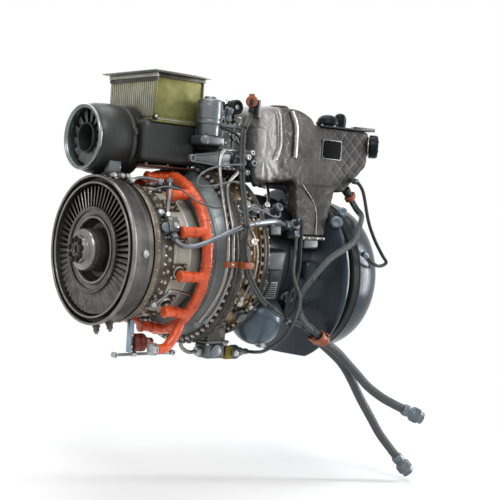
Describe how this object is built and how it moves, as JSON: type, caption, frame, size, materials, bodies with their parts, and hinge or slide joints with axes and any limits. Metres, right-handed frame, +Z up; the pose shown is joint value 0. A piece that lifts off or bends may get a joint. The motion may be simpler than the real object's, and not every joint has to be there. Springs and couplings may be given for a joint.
{
  "type": "turboshaft engine",
  "caption": "Bare turboshaft engine with an open bladed exhaust wheel, ring fuel manifold, oil cooler with fan, jacketed duct, flared air intake and a flanged drive end",
  "frame": {"origin": "centre of the face of the drive end flange, on the engine's axis", "axes": "+X from the exhaust to the drive end along the engine's axis, +Z up"},
  "size_m": [0.905, 0.6029, 1.005],
  "materials": {
    "turbine_steel": "dark worn steel",
    "turned_steel": "turned bright steel",
    "band_gold": "dull gold band",
    "combustor_beige": "warm beige heat treated sheet",
    "orange_sleeve": "orange silicone sleeve",
    "blue_grey": "satin blue-grey",
    "flange_grey": "grey machined flange",
    "heat_tint": "heat tinted steel",
    "intake_dark": "satin dark blue-grey",
    "black": "matt black",
    "fan_grey": "satin dark grey",
    "lip_silver": "bright spun lip",
    "cooler_olive": "olive mesh and pale corrugation",
    "cast_grey": "cast grey",
    "filter_blue": "light blue-grey casting",
    "foil": "crinkled silver foil blanket",
    "cap_slate": "slate cap",
    "steel_tube": "bright tube",
    "clip_orange": "orange-brown clip",
    "braid": "dark grey braid",
    "plug_metal": "grey anodised",
    "valve_red": "dull red",
    "valve_olive": "olive yellow",
    "strap_blue": "pale blue-grey"
  },
  "bodies": {
    "engine": {"turbine_casing": "turbine_steel", "clamp_band": "band_gold", "combustor_casing": "combustor_beige", "fuel_nozzles": "flange_grey", "fuel_manifold": "orange_sleeve", "feed_nut": "steel_tube", "fuel_block": "cast_grey", "shroud_cone": "blue_grey", "main_flange": "flange_grey", "hot_casing": "heat_tint", "rear_flange": "flange_grey", "intake_neck": "turbine_steel", "intake_front_bell": "intake_dark", "intake_core": "black", "intake_rear_dome": "intake_dark", "drive_flange": "flange_grey", "fan_housing": "fan_grey", "fan_lip": "lip_silver", "fan_bracket": "fan_grey", "fan_duct": "fan_grey", "oil_cooler": "cooler_olive", "cooler_frame": "lip_silver", "accessory_gearbox": "cast_grey", "gearbox_arm": "cast_grey", "filter_head": "filter_blue", "oil_filter": "filter_blue", "gearbox_connector": "black", "insulation_jacket": "foil", "jacket_leg": "foil", "data_plate": "black", "top_cap": "cap_slate", "side_cap": "cap_slate", "cross_pipe": "blue_grey", "steel_tubes": "steel_tube", "far_tubes": "steel_tube", "tube_clips": "clip_orange", "harness_main": "braid", "harness_rear": "braid", "harness_loops": "braid", "harness_clamps": "clip_orange", "bundle_clamp": "clip_orange", "cable_upper": "braid", "cable_lower": "braid", "plug_upper": "plug_metal", "plug_lower": "plug_metal", "fuel_pump": "cast_grey", "fuel_valve": "valve_olive", "oil_sump": "blue_grey", "drain_strap": "strap_blue", "drain_valve": "valve_red", "drain_link": "steel_tube", "drain_fittings": "turbine_steel"},
    "turbine_rotor": {"turbine_disc": "turned_steel", "turbine_blades": "turbine_steel"},
    "cooling_fan": {"fan_rotor": "fan_grey"}
  },
  "joints": [
    {"name": "turbine_spin", "type": "hinge", "parent": "engine", "child": "turbine_rotor", "pos_m": [-0.86, 0, 0], "axis": [1, 0, 0], "continuous": true},
    {"name": "fan_spin", "type": "hinge", "parent": "engine", "child": "cooling_fan", "pos_m": [-0.84, 0.055, 0.268], "axis": [1, 0, 0], "continuous": true}
  ]
}
